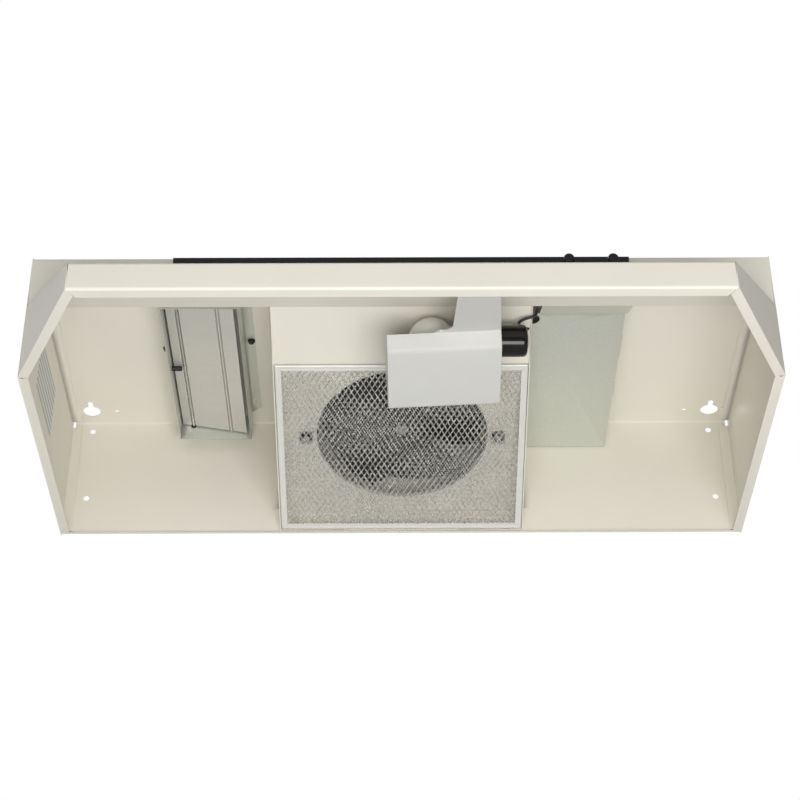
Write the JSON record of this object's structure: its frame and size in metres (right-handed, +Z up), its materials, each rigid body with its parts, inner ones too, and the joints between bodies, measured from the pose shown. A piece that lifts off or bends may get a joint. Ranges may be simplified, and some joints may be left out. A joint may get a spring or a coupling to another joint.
{
  "type": "under cabinet range hood",
  "caption": "Cream under cabinet range hood with a mitred visor, mesh grease filter, fan, lamp with a white lens, wiring cover and a stowed duct collar with its damper.",
  "frame": {"origin": "middle of the edge where the top face meets the back face: the corner between cabinet and wall", "axes": "+X to the right seen from the front, -Y towards the cook, +Z up against the cabinet"},
  "size_m": [0.7588, 0.446, 0.15],
  "materials": {
    "enamel": "smooth cream enamel on sheet steel",
    "galvanised": "galvanised sheet with a fine spangle",
    "aluminium": "mill-finish aluminium",
    "filter_mesh": "expanded aluminium foil",
    "core_steel": "laminated motor steel",
    "copper": "varnished copper winding",
    "bronze": "sintered bronze",
    "plated_steel": "zinc-plated steel",
    "black_phenolic": "glossy black moulded phenolic",
    "black_plastic": "satin black plastic",
    "black_oxide": "black oxide on steel",
    "black_rubber": "black rubber",
    "lead_jacket": "black wire insulation",
    "brass_shell": "brass screw shell",
    "bulb_glass": "frosted white glass",
    "bulb_metal": "drawn lamp cap",
    "white_lens": "translucent white moulded plastic",
    "nut_plastic": "orange moulded plastic",
    "ground_paint": "green painted screw",
    "blank_label": "blank pale label"
  },
  "bodies": {
    "shell": {"wrapper_panel": "enamel", "left_end_panel": "enamel", "right_end_panel": "enamel", "top_duct_knockout": "enamel", "rear_duct_knockout": "enamel", "wiring_knockouts": "enamel", "plenum_left_side": "enamel", "plenum_right_side": "enamel", "fan_plate": "enamel", "motor_strap": "galvanised", "strap_washers": "plated_steel", "strap_grommets": "black_rubber", "strap_screws": "plated_steel", "motor_front_bracket": "aluminium", "motor_rear_bracket": "aluminium", "motor_stator": "core_steel", "motor_coil": "copper", "motor_bolts": "plated_steel", "front_bearing": "bronze", "rear_bearing": "bronze", "filter_rail": "enamel", "filter_catches": "enamel", "lamp_socket": "black_phenolic", "socket_shell": "brass_shell", "socket_bracket": "galvanised", "lamp_lead": "lead_jacket", "motor_lead": "lead_jacket", "wiring_cover": "galvanised", "wire_nuts": "nut_plastic", "ground_screw": "ground_paint", "control_strip": "black_plastic", "fan_switch": "black_plastic", "light_switch": "black_plastic", "damper_collar": "galvanised", "damper_bushes": "black_plastic", "damper_screws": "black_oxide", "damper_stop": "black_rubber", "rating_plate": "blank_label"},
    "fan_rotor": {"motor_shaft": "plated_steel", "motor_rotor": "core_steel", "fan_blade": "black_plastic", "blade_nut": "plated_steel"},
    "filter": {"filter_frame": "aluminium", "filter_mesh": "filter_mesh"},
    "lens": {"lamp_lens": "white_lens"},
    "bulb": {"bulb_glass": "bulb_glass", "bulb_cap": "bulb_metal"},
    "fan_control": {"fan_knob": "black_plastic", "fan_shaft": "plated_steel"},
    "light_control": {"light_knob": "black_plastic", "light_shaft": "plated_steel"},
    "flap": {"damper_flap": "aluminium", "damper_rod": "plated_steel"}
  },
  "joints": [
    {"name": "fan_spin", "type": "hinge", "parent": "shell", "child": "fan_rotor", "pos_m": [0.001, -0.112, -0.093], "axis": [0, 0.2368, 0.9715], "continuous": true},
    {"name": "filter_swing", "type": "hinge", "parent": "shell", "child": "filter", "pos_m": [0, -0.21162, -0.07243], "axis": [-1, 0, 0], "range_deg": [0, 60]},
    {"name": "lens_drop", "type": "slide", "parent": "shell", "child": "lens", "axis": [0, 0, -1], "range_m": [0, 0.1]},
    {"name": "bulb_withdraw", "type": "slide", "parent": "shell", "child": "bulb", "axis": [-1, 0, 0], "range_m": [0, 0.018]},
    {"name": "fan_knob_turn", "type": "hinge", "parent": "shell", "child": "fan_control", "pos_m": [0.216, -0.31, -0.017], "axis": [0, -1, 0], "range_deg": [0, 90]},
    {"name": "light_knob_turn", "type": "hinge", "parent": "shell", "child": "light_control", "pos_m": [0.171, -0.31, -0.017], "axis": [0, -1, 0], "range_deg": [0, 60]},
    {"name": "flap_swing", "type": "hinge", "parent": "shell", "child": "flap", "pos_m": [-0.237, -0.1385, -0.015], "axis": [0, 1, 0], "range_deg": [0, 70]}
  ]
}
